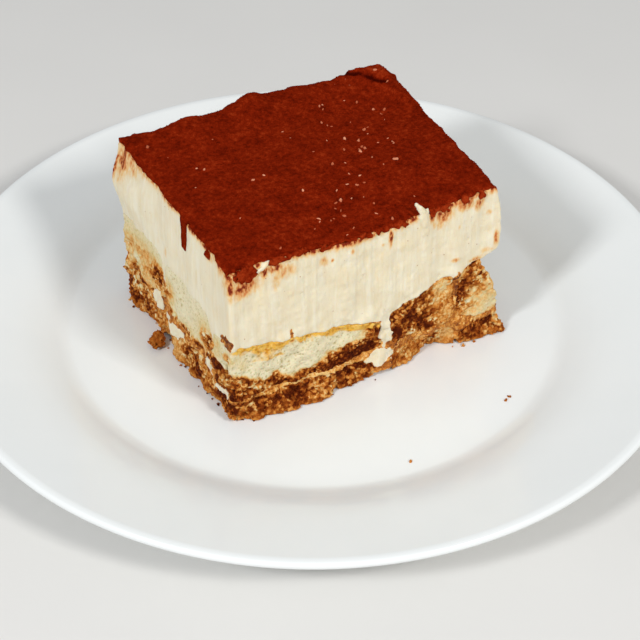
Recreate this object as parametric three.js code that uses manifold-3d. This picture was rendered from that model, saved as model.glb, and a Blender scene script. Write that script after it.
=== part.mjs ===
// A slice of tiramisu on its round dessert plate.
//
// Millimetres, +Z up. The origin is under the middle of the plate, on the surface that it stands on.
// X runs along the slice's long cut faces, and the front cut face looks towards -Y.
//
// The slice is made in the order a cook makes it: sponge fingers are laid in two layers, cream fills
// round and over them, a knife cuts the block out of the tray, and cocoa lies on top as a thin skin.

import * as THREE from "three";
import { mergeVertices } from "three/addons/utils/BufferGeometryUtils.js";
import Module from "manifold-3d";

const wasm = await Module();
wasm.setup();

// ---------------------------------------------------------------------------------------------
// Driving dimensions
// ---------------------------------------------------------------------------------------------

const GAP = 0.3; // clearance between two pieces that touch in the real slice

const PLATE = {
  radius: 110,
  height: 18.3,
  wellRadius: 72, // where the flat floor ends
  wellZ: 6.9,
  slopeRadius: 86, // where the slope turns into the broad rim
  slopeZ: 12.4,
  body: 4.2, // thickness of the floor and of the rim's root
  lip: 2.6, // thickness of the rim's rolled edge
  footRadius: 64,
  footWidth: 4.5,
  segments: 60,
};

// The block that the knife cuts out. Corners in plan, seen from above: front left, front right,
// back right and back left, on the plate and at the top.
const FLOOR = PLATE.wellZ + GAP;
const TOP = 58.9;
const BASE_CORNERS = [
  [-42.2, -32.6],
  [45.0, -32.4],
  [44.2, 31.4],
  [-45.4, 37.0],
];
const TOP_CORNERS = [
  [-41.4, -32.0],
  [41.4, -31.0],
  [43.4, 33.4],
  [-42.6, 38.0],
];
const CELLS = { x: 20, y: 16, z: 12 }; // facets of the block along its three edges

const CREAM_LINE = 31; // above this height the cut faces are cream, below it mostly sponge
const CREAM_FOOT = 8.4; // a film of sponge and coffee lies under the middle cream
const FOOT_SPREAD = 1.5; // how far crumbs spread round the foot of a cut face
const SPLIT = 22.5; // the top cream reaches down to here between the fingers
const COCOA = { thickness: 0.8, overhang: 0.35 };
const STREAK = { y: -5.4, width: 3.4, length: 10.5, thickness: 0.7 };

// Sponge fingers: three lie side by side along X, and two lie across their ends. middle and half are
// the middle and the half sizes of each along X, Y and Z; lean turns it about its own length, and
// slope is how much it was squeezed thinner for each millimetre along X.
const FINGERS = {
  ladyfinger_upper_front: { middle: [-33, -34.6, 23.15], half: [39, 14.0, 8.35], lean: 0, slope: 0.0072 },
  ladyfinger_upper_middle: { middle: [-34, -5.6, 27.6], half: [38, 14.5, 8.5], lean: 2 },
  ladyfinger_upper_back: { middle: [-34, 24.6, 27.7], half: [39, 14.6, 8.6], lean: -3 },
  ladyfinger_upper_cross_inner: { middle: [18.3, -2, 23.5], half: [10.8, 48, 7.4], lean: 0, slope: -0.026 },
  ladyfinger_upper_cross_outer: { middle: [44.3, -2, 25.2], half: [14.4, 48, 10.2], lean: 3 },
  ladyfinger_lower_front: { middle: [-36, -34.4, 9.9], half: [38.6, 14.2, 3.8], lean: 0 },
  ladyfinger_lower_middle: { middle: [-36, -5.4, 11.7], half: [39, 14.4, 5.5], lean: 0 },
  ladyfinger_lower_back: { middle: [-36, 24.6, 12.2], half: [39, 14.9, 6.0], lean: 0 },
  ladyfinger_lower_cross_inner: { middle: [19.5, -2, 9.4], half: [11.2, 48, 4.6], lean: -2 },
  ladyfinger_lower_cross_outer: { middle: [45.4, -2, 9.3], half: [14.1, 48, 4.4], lean: 0 },
};
const BOXINESS = 4.5; // how square a finger's section is: 2 is an ellipse, and more is squarer
const FINGER_CELLS = [6, 6, 3];

const CHUNK = { middle: [-47.2, 7.8], half: [2.1, 2.8, 2.3] }; // a lump that fell off the left face

// ---------------------------------------------------------------------------------------------
// Helpers
// ---------------------------------------------------------------------------------------------

const lerp = THREE.MathUtils.lerp;
const ease = (low, high, x) => THREE.MathUtils.smoothstep(x, low, high);
// A hump of height 1 at the middle that dies out over the reach.
const hump = (x, middle, reach) => Math.exp(-(((x - middle) / reach) ** 2));

// Smooth unevenness from -1 to 1 over two lengths in millimetres, the same on every run.
function ripple(a, b, size, seed) {
  const u = a / size;
  const v = b / size;
  return (
    0.45 * Math.sin(1.9 * u + 1.3 * v + 2.1 * seed) +
    0.35 * Math.sin(-2.7 * u + 2.2 * v + 5.3 * seed) +
    0.2 * Math.sin(4.6 * u + 3.9 * v + 1.7 * seed)
  );
}

// A geometry as a manifold solid, and back.
function solidOf(geometry) {
  const bare = new THREE.BufferGeometry();
  bare.setAttribute("position", geometry.getAttribute("position"));
  bare.setIndex(geometry.index);
  const merged = mergeVertices(bare, 1e-3);
  return new wasm.Manifold(
    new wasm.Mesh({
      numProp: 3,
      vertProperties: new Float32Array(merged.attributes.position.array),
      triVerts: new Uint32Array(merged.index.array),
    }),
  );
}

function geometryOf(solid) {
  const { vertProperties, triVerts } = solid.getMesh();
  const geometry = new THREE.BufferGeometry();
  geometry.setAttribute("position", new THREE.BufferAttribute(vertProperties, 3));
  geometry.setIndex(new THREE.BufferAttribute(triVerts, 1));
  geometry.computeVertexNormals();
  return geometry;
}

// A box of cells whose corners (each from 0 to 1 along three edges) are moved by place(s, t, w).
function mappedBox(cells, place) {
  const box = new THREE.BoxGeometry(1, 1, 1, ...cells);
  const position = box.getAttribute("position");
  for (let i = 0; i < position.count; i++) {
    const [s, t, w] = [position.getX(i), position.getY(i), position.getZ(i)].map((c) => c + 0.5);
    position.setXYZ(i, ...place(s, t, w));
  }
  return box;
}

function material(color, roughness) {
  return new THREE.MeshStandardMaterial({ color, roughness, metalness: 0 });
}

function node(name, solid, look) {
  const mesh = new THREE.Mesh(geometryOf(solid), look);
  mesh.name = name;
  return mesh;
}

// ---------------------------------------------------------------------------------------------
// Plate: glazed porcelain, turned: a flat well, a short slope, a broad rim with a rolled lip, a foot
// ---------------------------------------------------------------------------------------------

function makePlate() {
  const { radius, height, wellRadius, wellZ, slopeRadius, slopeZ, body, lip } = PLATE;
  const { footRadius, footWidth, segments } = PLATE;
  const upper = new THREE.CatmullRomCurve3(
    [
      [wellRadius - 3, wellZ],
      [wellRadius + 2.5, wellZ + 0.6],
      [slopeRadius - 6, slopeZ - 2.3],
      [slopeRadius, slopeZ],
      [lerp(slopeRadius, radius, 0.5), lerp(slopeZ, height, 0.52)],
      [radius - lip, height - 0.3],
    ].map(([r, z]) => new THREE.Vector3(r, z, 0)),
    false,
    "centripetal",
  ).getPoints(6);
  const lipRoll = [60, 0, -60].map((degrees) => {
    const angle = THREE.MathUtils.degToRad(degrees);
    const half = lip / 2;
    return [radius - half + half * Math.cos(angle), height - half + half * Math.sin(angle)];
  });
  const under = [
    [radius - lip - 1, height - lip - 0.6],
    [slopeRadius + 2, slopeZ - body + 0.4],
    [wellRadius + 3, wellZ - body + 0.6],
    [footRadius + 1.5, wellZ - body],
    [footRadius, 0],
    [footRadius - footWidth, 0],
    [footRadius - footWidth - 1.5, wellZ - body],
    [0, wellZ - body],
  ];
  const outline = [[0, wellZ], ...upper.map((p) => [p.x, p.y]), ...lipRoll, ...under];
  const profile = outline.reverse().map(([r, z]) => new THREE.Vector2(r, z));
  const turned = new THREE.LatheGeometry(profile, segments).rotateX(Math.PI / 2);
  return solidOf(turned);
}

// ---------------------------------------------------------------------------------------------
// The cut block: where its four faces, its top and everything on them lie
// ---------------------------------------------------------------------------------------------

// The top is level but for a sag along the front edge, a lip along the back that rises and dips,
// and a fold that the spatula pushed up over the back right corner.
function topZ(s, t) {
  const sag = -2.2 * hump(s, 0.52, 0.3) * (1 - ease(0, 0.35, t));
  const bumps = 0.5 * hump(s, 0.03, 0.03) + 1.3 * hump(s, 0.235, 0.085) + 2 * hump(s, 0.475, 0.05);
  const falling = ease(0.96, 1, s); // towards the right edge
  const backLip = (0.5 + 1.5 * ease(0.3, 0.46, s) + bumps) * ease(0.72, 1, t) * (1 - 0.4 * falling);
  const crease = 0.98 - 2.2 * Math.max(t - 0.75, 0) ** 2; // where the fold starts along s
  const fold = 2.8 * ease(-0.07, 0.05, s - crease) * ease(0.62, 0.8, t) * (1 - 0.75 * falling);
  const frontCorner = -0.9 * hump(s, 0, 0.1) * hump(t, 0, 0.1);
  return TOP + sag + backLip + fold + frontCorner + 0.35 * ripple(s * 84, t * 68, 17, 3);
}

// How far a face stands out of its flat plane. Sponge crumbles in lumps and spreads at its foot, and
// cream is dragged by the knife in upright grooves.
function relief(along, z, seed, spread) {
  const cream = ease(CREAM_LINE - 3, CREAM_LINE + 3, z);
  const crumbs = 0.75 * ripple(along, z, 6.5, seed) + 0.4 * ripple(along, z * 1.3, 3.1, seed + 5);
  const grooves = 0.45 * ripple(along, z * 0.12, 5.2, seed + 9);
  const foot = spread * (1 + ripple(along, 0, 9, seed + 2)) * Math.exp(-(z - FLOOR) / 3.2);
  return lerp(crumbs + foot, grooves, cream);
}

const edge = (a, b, share, height) => {
  const [base, top] = [BASE_CORNERS, TOP_CORNERS].map((c) => [c[a], c[b]]);
  return [0, 1].map((axis) =>
    lerp(lerp(base[0][axis], base[1][axis], share), lerp(top[0][axis], top[1][axis], share), height),
  );
};

function frontY(s, z, height) {
  const x = lerp(TOP_CORNERS[0][0], TOP_CORNERS[1][0], s);
  const hollow = hump(x, 23, 9); // here the foot lies back under the slice
  const spread = ease(-43, -36, x) * (1 - 0.9 * hollow);
  const pushed = 1.8 * spread * hump(x, -20, 20) * Math.exp(-(z - FLOOR) / 5);
  const undercut = -2.4 * hollow * (1 - ease(9, 17, z));
  return edge(0, 1, s, height)[1] - relief(x, z, 1, FOOT_SPREAD * spread) - pushed - undercut;
}

function backY(s, z, height) {
  const x = lerp(TOP_CORNERS[3][0], TOP_CORNERS[2][0], s);
  const bulge = 3.4 * hump(s, 0.62, 0.24) * ease(40, 58, z);
  return edge(3, 2, s, height)[1] + relief(x, z, 4, FOOT_SPREAD) + bulge;
}

function leftX(t, z, height) {
  const y = lerp(TOP_CORNERS[0][1], TOP_CORNERS[3][1], t);
  const overhang = 3.2 * ease(0.55, 1, t) * hump(z, 47.5, 8.5); // the cream leans out at the back
  const spread = FOOT_SPREAD * (0.15 + 0.75 * hump(y, -4, 11)); // cut cleaner at both ends
  const nook = 1.4 * hump(y, CHUNK.middle[1], 4) * Math.exp(-(z - FLOOR) / 4); // the lump left it
  return edge(0, 3, t, height)[0] - relief(y, z, 2, spread) - overhang + nook;
}

function rightX(t, z, height) {
  const y = lerp(TOP_CORNERS[1][1], TOP_CORNERS[2][1], t);
  const overhang = 1.2 * hump(z, 46, 10);
  const waist = lerp(5.4, 3.0, ease(0, 0.4, t)) * hump(z, 34.8, z > 34.8 ? 2.3 : 7.5);
  const lobe = 2.6 * hump(y, -31, 5) * Math.exp(-(z - FLOOR) / 4); // crumbs pushed out at the corner
  return edge(1, 2, t, height)[0] + relief(y, z, 3, FOOT_SPREAD) + overhang + lobe - waist;
}

// The point of the block at shares s and t of its plan, at height z.
function inBlock(s, t, z) {
  const height = (z - FLOOR) / (TOP - FLOOR);
  return [
    lerp(leftX(t, z, height), rightX(t, z, height), s),
    lerp(frontY(s, z, height), backY(s, z, height), t),
    z,
  ];
}

function makeBlock() {
  const cells = [CELLS.x, CELLS.y, CELLS.z];
  return solidOf(mappedBox(cells, (s, t, w) => inBlock(s, t, lerp(FLOOR, topZ(s, t), w))));
}

// A slab over the whole block between two heights, to take a layer out of it.
function slab(low, high) {
  const box = new THREE.BoxGeometry(200, 200, high - low);
  return solidOf(box.translate(0, 0, (low + high) / 2));
}

// ---------------------------------------------------------------------------------------------
// Sponge fingers, creams and cocoa
// ---------------------------------------------------------------------------------------------

// A rounded finger, grown by a margin on every side.
function makeFinger({ middle, half, lean, slope = 0 }, margin) {
  const alongY = half[1] > half[0];
  const cells = alongY ? [FINGER_CELLS[1], FINGER_CELLS[0], FINGER_CELLS[2]] : FINGER_CELLS;
  const geometry = mappedBox(cells, (s, t, w) => {
    const corner = [2 * s - 1, 2 * t - 1, 2 * w - 1];
    const norm = corner.reduce((sum, c) => sum + Math.abs(c) ** BOXINESS, 0) ** (1 / BOXINESS);
    const [dx, dy, dz] = corner.map((c, axis) => (c / norm) * (half[axis] + margin));
    return [dx, dy, (dz + half[2]) * (1 - slope * dx) - half[2]]; // its underside stays level
  });
  const turn = THREE.MathUtils.degToRad(lean);
  if (alongY) geometry.rotateY(turn);
  else geometry.rotateX(turn);
  return solidOf(geometry.translate(...middle));
}

// The cocoa skin follows the top of the cream, hangs a little over its edges, and one strip of it
// was dragged down the left face by the knife.
function makeCocoa(block) {
  const { thickness, overhang } = COCOA;
  const outward = (share) => (share === 0 ? -overhang : share === 1 ? overhang : 0);
  const skin = mappedBox([CELLS.x, CELLS.y, 1], (s, t, w) => {
    const [x, y, z] = inBlock(s, t, topZ(s, t));
    return [x + outward(s), y + outward(t), z + GAP + w * thickness];
  });
  const streak = mappedBox([1, 2, 4], (s, t, w) => {
    const [front, back] = [TOP_CORNERS[0][1], TOP_CORNERS[3][1]];
    const y = STREAK.y + (t - 0.5) * STREAK.width;
    const share = (y - front) / (back - front);
    const top = topZ(0, share) + GAP + thickness / 2;
    const z = top - STREAK.length * (1 - w);
    const wall = inBlock(0, share, Math.min(z, TOP))[0];
    return [wall - GAP - (1 - s) * STREAK.thickness, y, z];
  });
  // The block's own facets are taken away, so that neither sinks into the cream where it curves.
  const clear = (solid, ...shifts) =>
    shifts.reduce((left, shift) => left.subtract(block.translate(shift)), solid);
  return clear(solidOf(skin), [0, 0, GAP / 2]).add(clear(solidOf(streak), [-GAP, 0, 0], [0, 0, GAP]));
}

// A broken lump of sponge, lying on the plate beside the slice.
function makeChunk() {
  const [x, y] = CHUNK.middle;
  const lump = new THREE.IcosahedronGeometry(1, 2);
  const position = lump.getAttribute("position");
  for (let i = 0; i < position.count; i++) {
    const point = [position.getX(i), position.getY(i), position.getZ(i)];
    const swell = 1 + 0.16 * ripple(point[0] * 3, point[1] * 3 + point[2] * 2, 1.6, 6);
    const [dx, dy, dz] = point.map((c, axis) => c * swell * CHUNK.half[axis]);
    position.setXYZ(i, x + dx, y + dy, FLOOR + Math.max(dz + 0.75 * CHUNK.half[2], 0));
  }
  lump.deleteAttribute("normal");
  lump.deleteAttribute("uv");
  return solidOf(mergeVertices(lump, 1e-3));
}

// ---------------------------------------------------------------------------------------------
// Assembly
// ---------------------------------------------------------------------------------------------

const PORCELAIN = material(0xeceeec, 0.15);
const SPONGE = material(0xd9bf86, 0.95);
const SOAKED_SPONGE = material(0x7a3f18, 0.85);
const CREAM = material(0xeee4c8, 0.5);
const COCOA_POWDER = material(0x6e1c0c, 1.0);

const block = makeBlock();
const names = Object.keys(FINGERS);
const upper = names.filter((name) => name.includes("upper"));
const lower = names.filter((name) => name.includes("lower"));
const without = (solid, list, margin) =>
  list.reduce((left, name) => left.subtract(makeFinger(FINGERS[name], margin)), solid);

const slice = new THREE.Group();
for (const name of names) {
  const look = name.includes("upper") ? SPONGE : SOAKED_SPONGE;
  slice.add(node(name, makeFinger(FINGERS[name], 0).intersect(block), look));
}
const creamTop = without(block.intersect(slab(SPLIT, 100)), upper, GAP);
const middleLayer = block.intersect(slab(CREAM_FOOT, SPLIT - GAP));
const creamMiddle = without(middleLayer, [...upper, ...lower], GAP);
slice.add(node("cream_top", creamTop, CREAM));
slice.add(node("cream_middle", creamMiddle, CREAM));
slice.add(node("cocoa_skin", makeCocoa(block), COCOA_POWDER));

const tiramisu = new THREE.Group();
tiramisu.add(node("plate", makePlate(), PORCELAIN));
tiramisu.add(slice);
tiramisu.add(node("sponge_chunk", makeChunk(), SOAKED_SPONGE));

export default tiramisu;
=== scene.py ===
"""A slice of tiramisu on its dessert plate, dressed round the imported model.

The plate and the food are given in millimetres, and MM turns them into metres. The camera, the floor
and the lamps are given in metres.
"""

import itertools
import math

import bmesh
import bpy
import numpy as np
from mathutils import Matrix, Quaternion, Vector


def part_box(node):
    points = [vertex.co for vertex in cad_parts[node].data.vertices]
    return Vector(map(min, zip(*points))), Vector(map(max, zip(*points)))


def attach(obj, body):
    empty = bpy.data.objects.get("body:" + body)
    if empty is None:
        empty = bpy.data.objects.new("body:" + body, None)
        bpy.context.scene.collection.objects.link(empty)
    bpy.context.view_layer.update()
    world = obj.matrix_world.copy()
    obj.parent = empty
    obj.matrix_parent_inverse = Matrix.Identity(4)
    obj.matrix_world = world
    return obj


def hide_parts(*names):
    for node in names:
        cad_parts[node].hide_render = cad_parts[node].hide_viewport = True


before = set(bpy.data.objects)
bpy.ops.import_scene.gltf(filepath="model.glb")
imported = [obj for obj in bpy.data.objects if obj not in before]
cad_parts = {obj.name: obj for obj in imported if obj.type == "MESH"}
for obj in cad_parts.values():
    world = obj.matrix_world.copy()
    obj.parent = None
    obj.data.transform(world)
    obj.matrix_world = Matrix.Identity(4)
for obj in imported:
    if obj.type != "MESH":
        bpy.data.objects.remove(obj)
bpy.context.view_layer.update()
MM = 0.001

# ------------------------------------------------------------------------------------------------
# Camera, floor and lamps
# A still life on a plain pale table top. Two soft lamps, each about 20 cm wide, stand high at the
# front left and the front right, and a pale room fills the shadows.
# ------------------------------------------------------------------------------------------------

EYE = Vector((-0.1689, -0.3226, 0.3089))
AIM = Vector((0.00428, 0.00319, 0.0))
ROLL = math.radians(0.43)
LENS = 88.06  # millimetres
SENSOR_WIDTH = 36  # millimetres
LAMP_AIM = Vector((0, 0, 0.02))


def put(name, data):
    """A new object in the scene."""
    thing = bpy.data.objects.new(name, data)
    bpy.context.scene.collection.objects.link(thing)
    return thing


camera = put("camera", bpy.data.cameras.new("camera"))
camera.data.lens = LENS
camera.data.sensor_width = SENSOR_WIDTH
camera.data.clip_start = 0.01
camera.location = EYE
camera.rotation_mode = "QUATERNION"
camera.rotation_quaternion = (AIM - EYE).to_track_quat("-Z", "Y") @ Quaternion((0, 0, 1), ROLL)
bpy.context.scene.camera = camera
bpy.context.scene.view_settings.view_transform = "Standard"


def lamp(name, place, width, power, colour):
    """A square soft lamp that shines from a place towards the slice."""
    light = put(name, bpy.data.lights.new(name, "AREA"))
    light.data.size = width
    light.data.energy = power
    light.data.color = colour
    light.location = place
    light.rotation_mode = "QUATERNION"
    light.rotation_quaternion = (LAMP_AIM - Vector(place)).to_track_quat("-Z", "Y")


lamp("lamp_right", (0.28, -0.86, 0.79), width=0.20, power=6.6, colour=(1.0, 0.99, 0.965))
lamp("lamp_left", (-0.87, -0.30, 0.77), width=0.18, power=6.6, colour=(0.975, 0.99, 1.0))

room = bpy.data.worlds.new("room")
room.use_nodes = True
room.node_tree.nodes["Background"].inputs["Color"].default_value = (0.97, 0.985, 1.0, 1)
room.node_tree.nodes["Background"].inputs["Strength"].default_value = 0.44
bpy.context.scene.world = room


class Wire:
    """One output of a material's node. Sums and products of wires add Math nodes."""

    def __init__(self, look, socket):
        self.look = look
        self.socket = socket

    def math(self, operation, *others, first=None):
        """A Math node of this wire and others, or of a first number and this wire."""
        inputs = [self, *others] if first is None else [first, self]
        return self.look.node("ShaderNodeMath", {"operation": operation}, inputs)

    def __add__(self, other):
        return self.math("ADD", other)

    def __sub__(self, other):
        return self.math("SUBTRACT", other)

    def __rsub__(self, other):
        return self.math("SUBTRACT", first=other)

    def __mul__(self, other):
        return self.math("MULTIPLY", other)

    def step(self, low, high):
        """0 below low and 1 above high, with a soft passage."""
        settings = {"interpolation_type": "SMOOTHSTEP"}
        sockets = {"Value": self, "From Min": low, "From Max": high}
        return self.look.node("ShaderNodeMapRange", settings, sockets)

    __radd__ = __add__
    __rmul__ = __mul__


class Look:
    """A material whose colour, gloss and relief are written as expressions."""

    def __init__(self, name, **constants):
        self.material = bpy.data.materials.new(name)
        self.material.use_nodes = True
        self.tree = self.material.node_tree
        self.shader = self.tree.nodes["Principled BSDF"]
        for socket, value in constants.items():
            self.shader.inputs[socket.replace("_", " ")].default_value = value
        place = self.node("ShaderNodeTexCoord", {}, {}, "Object")
        scaled = {0: place, "Scale": 1 / MM}
        self.place = self.node("ShaderNodeVectorMath", {"operation": "SCALE"}, scaled)

    def node(self, kind, settings, inputs, output=0):
        """Adds a node: its settings first, then its inputs by name or number, as values or wires."""
        node = self.tree.nodes.new(kind)
        for key, value in settings.items():
            if key == "stops":
                self.set_stops(node.color_ramp.elements, value)
            else:
                setattr(node, key, value)
        pairs = inputs.items() if isinstance(inputs, dict) else enumerate(inputs)
        for key, value in pairs:
            if isinstance(value, Wire):
                self.tree.links.new(value.socket, node.inputs[key])
            else:
                node.inputs[key].default_value = value
        return Wire(self, node.outputs[output])

    def set_stops(self, elements, stops):
        """Gives a colour ramp its stops, each a position and a colour."""
        while len(elements) < len(stops):
            elements.new(1)
        for element, (position, colour) in zip(elements, stops):
            element.position = position
            element.color = (*colour, 1)

    def grain(self, size, detail=2, stretch=(1, 1, 1), seed=0):
        """Cloudy unevenness about 0.5 with lumps of that size in millimetres."""
        turn = {"Vector": self.place, "Scale": stretch, "Location": (seed * 7.3, seed * 3.1, 0)}
        vector = self.node("ShaderNodeMapping", {}, turn)
        return self.node("ShaderNodeTexNoise", {}, {"Vector": vector, "Scale": 1 / size, "Detail": detail})

    def cells(self, size, seed=0):
        """Distance to the nearest of many scattered points: 0 at each point."""
        turn = {"Vector": self.place, "Location": (seed * 5.7, seed * 2.9, 0)}
        vector = self.node("ShaderNodeMapping", {}, turn)
        return self.node("ShaderNodeTexVoronoi", {}, {"Vector": vector, "Scale": 1 / size})

    def ramp(self, value, *stops):
        """The colour that belongs to a value, between stops of position and colour."""
        return self.node("ShaderNodeValToRGB", {"stops": stops}, [value])

    def mix(self, share, first, second, blend="MIX"):
        """The first colour at share 0, and the second one mixed or blended into it as share grows."""
        settings = {"data_type": "RGBA", "blend_type": blend, "clamp_factor": True}
        colours = [c if isinstance(c, Wire) else (*c, 1) for c in (first, second)]
        return self.node("ShaderNodeMix", settings, {0: share, 6: colours[0], 7: colours[1]}, 2)

    def attribute(self, name):
        """A number that paint stored at each point."""
        return self.node("ShaderNodeAttribute", {"attribute_name": name}, {}, "Fac")

    def finish(self, **sockets):
        """Joins wires to the shader's own sockets, and gives the material."""
        for socket, wire in sockets.items():
            self.tree.links.new(wire.socket, self.shader.inputs[socket.replace("_", " ")])
        return self.material

    def bump(self, height, depth):
        """Relief of that depth in millimetres."""
        return self.node("ShaderNodeBump", {}, {"Height": height, "Distance": depth * MM}, "Normal")


def table_top_look():
    look = Look("pale_table_top", Roughness=0.6)
    cloud = look.grain(60)
    colour = look.mix(cloud, (0.70, 0.69, 0.67), (0.74, 0.73, 0.71))
    return look.finish(Base_Color=colour)


FLOOR_HALF = 3.0  # metres
floor_mesh = bpy.data.meshes.new("floor")
corners = [(FLOOR_HALF * x, FLOOR_HALF * y, 0.0) for x, y in ((-1, -1), (1, -1), (1, 1), (-1, 1))]
floor_mesh.from_pydata(corners, [], [(0, 1, 2, 3)])
floor_mesh.materials.append(table_top_look())
floor = put("floor", floor_mesh)

# ------------------------------------------------------------------------------------------------
# Plate
# Round dessert plate of white porcelain, jiggered on a wheel and dipped in clear glossy glaze. The
# well is flat, the rim rises gently from a short slope, and the bare foot ring is wiped dry.
# ------------------------------------------------------------------------------------------------

PLATE_RADIUS = 110
PLATE_HEIGHT = 18.3
WELL_RADIUS = 72
WELL_Z = 6.9  # the face of the well, on which the slice stands
SLOPE_RADIUS = 86  # where the slope ends and the rim begins
SLOPE_Z = 12.4
PLATE_BODY = 4.2  # thickness of the porcelain under the well
LIP = 2.6  # thickness of the rounded edge
FOOT_RADIUS = 64
FOOT_WIDTH = 4.5
PLATE_TURNS = 192  # steps round the plate


def piece_from(name, points, faces, look):
    """A smooth shaded piece from points in millimetres and rows of corner numbers."""
    mesh = bpy.data.meshes.new(name)
    faces = np.asarray(faces, np.int32)
    mesh.vertices.add(len(points))
    mesh.vertices.foreach_set("co", (np.asarray(points, np.float32) * MM).ravel())
    mesh.loops.add(faces.size)
    mesh.loops.foreach_set("vertex_index", faces.ravel())
    mesh.polygons.add(len(faces))
    mesh.polygons.foreach_set("loop_start", np.arange(0, faces.size, faces.shape[1], dtype=np.int32))
    mesh.update(calc_edges=True)
    mesh.polygons.foreach_set("use_smooth", np.ones(len(faces), bool))
    mesh.materials.append(look)
    return put(name, mesh)


def rounded(points, rounds):
    """The outline with its corners cut off again and again, its two ends kept."""
    points = np.array(points, float)
    for _ in range(rounds):
        first, second = points[:-1], points[1:]
        cut = np.stack([0.75 * first + 0.25 * second, 0.25 * first + 0.75 * second], 1).reshape(-1, 2)
        points = np.vstack([points[:1], cut, points[-1:]])
    return points


def plate_outline():
    """Radius and height from the middle of the well out over the lip and back under to the middle."""
    half = LIP / 2
    rim_middle = ((SLOPE_RADIUS + PLATE_RADIUS) / 2, SLOPE_Z + 0.52 * (PLATE_HEIGHT - SLOPE_Z))
    above = rounded(
        [
            (WELL_RADIUS - 14, WELL_Z),
            (WELL_RADIUS - 1, WELL_Z),
            (WELL_RADIUS + 2.5, WELL_Z + 0.5),
            (SLOPE_RADIUS - 6, SLOPE_Z - 2.3),
            (SLOPE_RADIUS, SLOPE_Z),
            rim_middle,
            (PLATE_RADIUS - LIP, PLATE_HEIGHT - 0.3),
        ],
        4,
    )
    angles = np.radians(np.linspace(75, -75, 9))
    centre = np.array([PLATE_RADIUS - half, PLATE_HEIGHT - half])
    lip = centre + half * np.stack([np.cos(angles), np.sin(angles)], 1)
    below = rounded(
        [
            (PLATE_RADIUS - LIP - 1, PLATE_HEIGHT - LIP - 0.6),
            (SLOPE_RADIUS + 2, SLOPE_Z - PLATE_BODY + 0.4),
            (WELL_RADIUS + 3, WELL_Z - PLATE_BODY + 0.6),
            (FOOT_RADIUS + 1.5, WELL_Z - PLATE_BODY),
        ],
        3,
    )
    inner = FOOT_RADIUS - FOOT_WIDTH
    foot_outside = [(FOOT_RADIUS + 0.6, 1.2), (FOOT_RADIUS, 0), (FOOT_RADIUS - 1, 0)]
    foot = rounded(foot_outside + [(inner + 1, 0), (inner, 0), (inner - 0.6, 1.2)], 2)
    hollow = [(inner - 1.5, WELL_Z - PLATE_BODY), (inner - 4, WELL_Z - PLATE_BODY)]
    return np.vstack([above, lip, below, foot, hollow])


def turned(outline, turns):
    """Points and faces of an outline turned about the vertical, closed by a fan at each end."""
    angles = np.linspace(0, 2 * math.pi, turns, endpoint=False)
    radius, height = outline[:, 0], outline[:, 1]
    ring = np.stack([np.cos(angles), np.sin(angles)], 1)
    points = np.empty((len(outline), turns, 3))
    points[..., :2] = radius[:, None, None] * ring
    points[..., 2] = height[:, None]
    count = len(outline) * turns
    ends = [(0, 0, outline[0, 1]), (0, 0, outline[-1, 1])]
    row, column = np.meshgrid(np.arange(len(outline) - 1), np.arange(turns), indexing="ij")
    after = (column + 1) % turns
    a, b = row * turns + column, row * turns + after
    c, d = (row + 1) * turns + after, (row + 1) * turns + column
    walls = np.stack([a, d, c, b], -1).reshape(-1, 4)
    column = np.arange(turns)
    after = (column + 1) % turns
    last = (len(outline) - 1) * turns
    middle, under = np.full(turns, count), np.full(turns, count + 1)
    upper_fan = np.stack([column, after, middle], 1)
    lower_fan = np.stack([last + after, last + column, under], 1)
    return np.vstack([points.reshape(-1, 3), ends]), walls, np.vstack([upper_fan, lower_fan])


def glaze_look():
    look = Look("porcelain_glaze", IOR=1.5, Coat_Roughness=0.04)
    cloud = look.grain(22, 3)
    colour = look.mix(cloud, (0.785, 0.81, 0.81), (0.825, 0.845, 0.845))
    gloss = look.grain(5, 3, seed=2) * 0.05 + 0.13
    pull = look.bump(look.grain(14, 1, seed=4), 0.10)
    return look.finish(Base_Color=colour, Roughness=gloss, Normal=pull)


plate_points, plate_walls, plate_fans = turned(plate_outline(), PLATE_TURNS)
plate_mesh = bpy.data.meshes.new("plate_glazed")
plate_mesh.from_pydata((plate_points * MM).tolist(), [], plate_walls.tolist() + plate_fans.tolist())
plate_mesh.polygons.foreach_set("use_smooth", np.ones(len(plate_mesh.polygons), bool))
plate_mesh.materials.append(glaze_look())
plate = put("plate_glazed", plate_mesh)
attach(plate, "root")
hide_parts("plate")

# ------------------------------------------------------------------------------------------------
# Sponge fingers
# Baked fingers of egg sponge, dipped in coffee and laid in two layers, then cut through with a
# knife. The cut opens their crumb: pale where dry, orange to nearly black where the coffee sat.
# ------------------------------------------------------------------------------------------------

GAP = 0.3  # what keeps one piece clear of the next
BLOCK_FOOT = WELL_Z + GAP
TOP = 58.9  # height of the top, apart from its sags, lips and folds
CREAM_LINE = 31  # about here the crumbly part of a cut face gives way to smooth cream
# The slice seen from above, in round figures: where it begins and how far it reaches.
SLICE_LEFT = -42
SLICE_LENGTH = 84
SLICE_FRONT = -32
SLICE_WIDTH = 68
# Corners of the slice on the plate and along its top, from the front left one anticlockwise: x and y.
BASE_CORNERS = np.array([(-42.2, -32.6), (45.0, -32.4), (44.2, 31.4), (-45.4, 37.0)])
TOP_CORNERS = np.array([(-41.4, -32.0), (41.4, -31.0), (43.4, 33.4), (-42.6, 38.0)])
BACK_BULGE = 3.4  # how far the top bulges out along its back edge
FOOT_SPREAD = 1.5  # how far the knife pushed the foot outwards
CHUNK_MIDDLE = (-47.2, 7.8, BLOCK_FOOT + 1.5)  # of the lump that broke off and left a nook in the foot
BOXINESS = 4.5  # how square a finger is: at 2 it would be an egg

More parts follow.
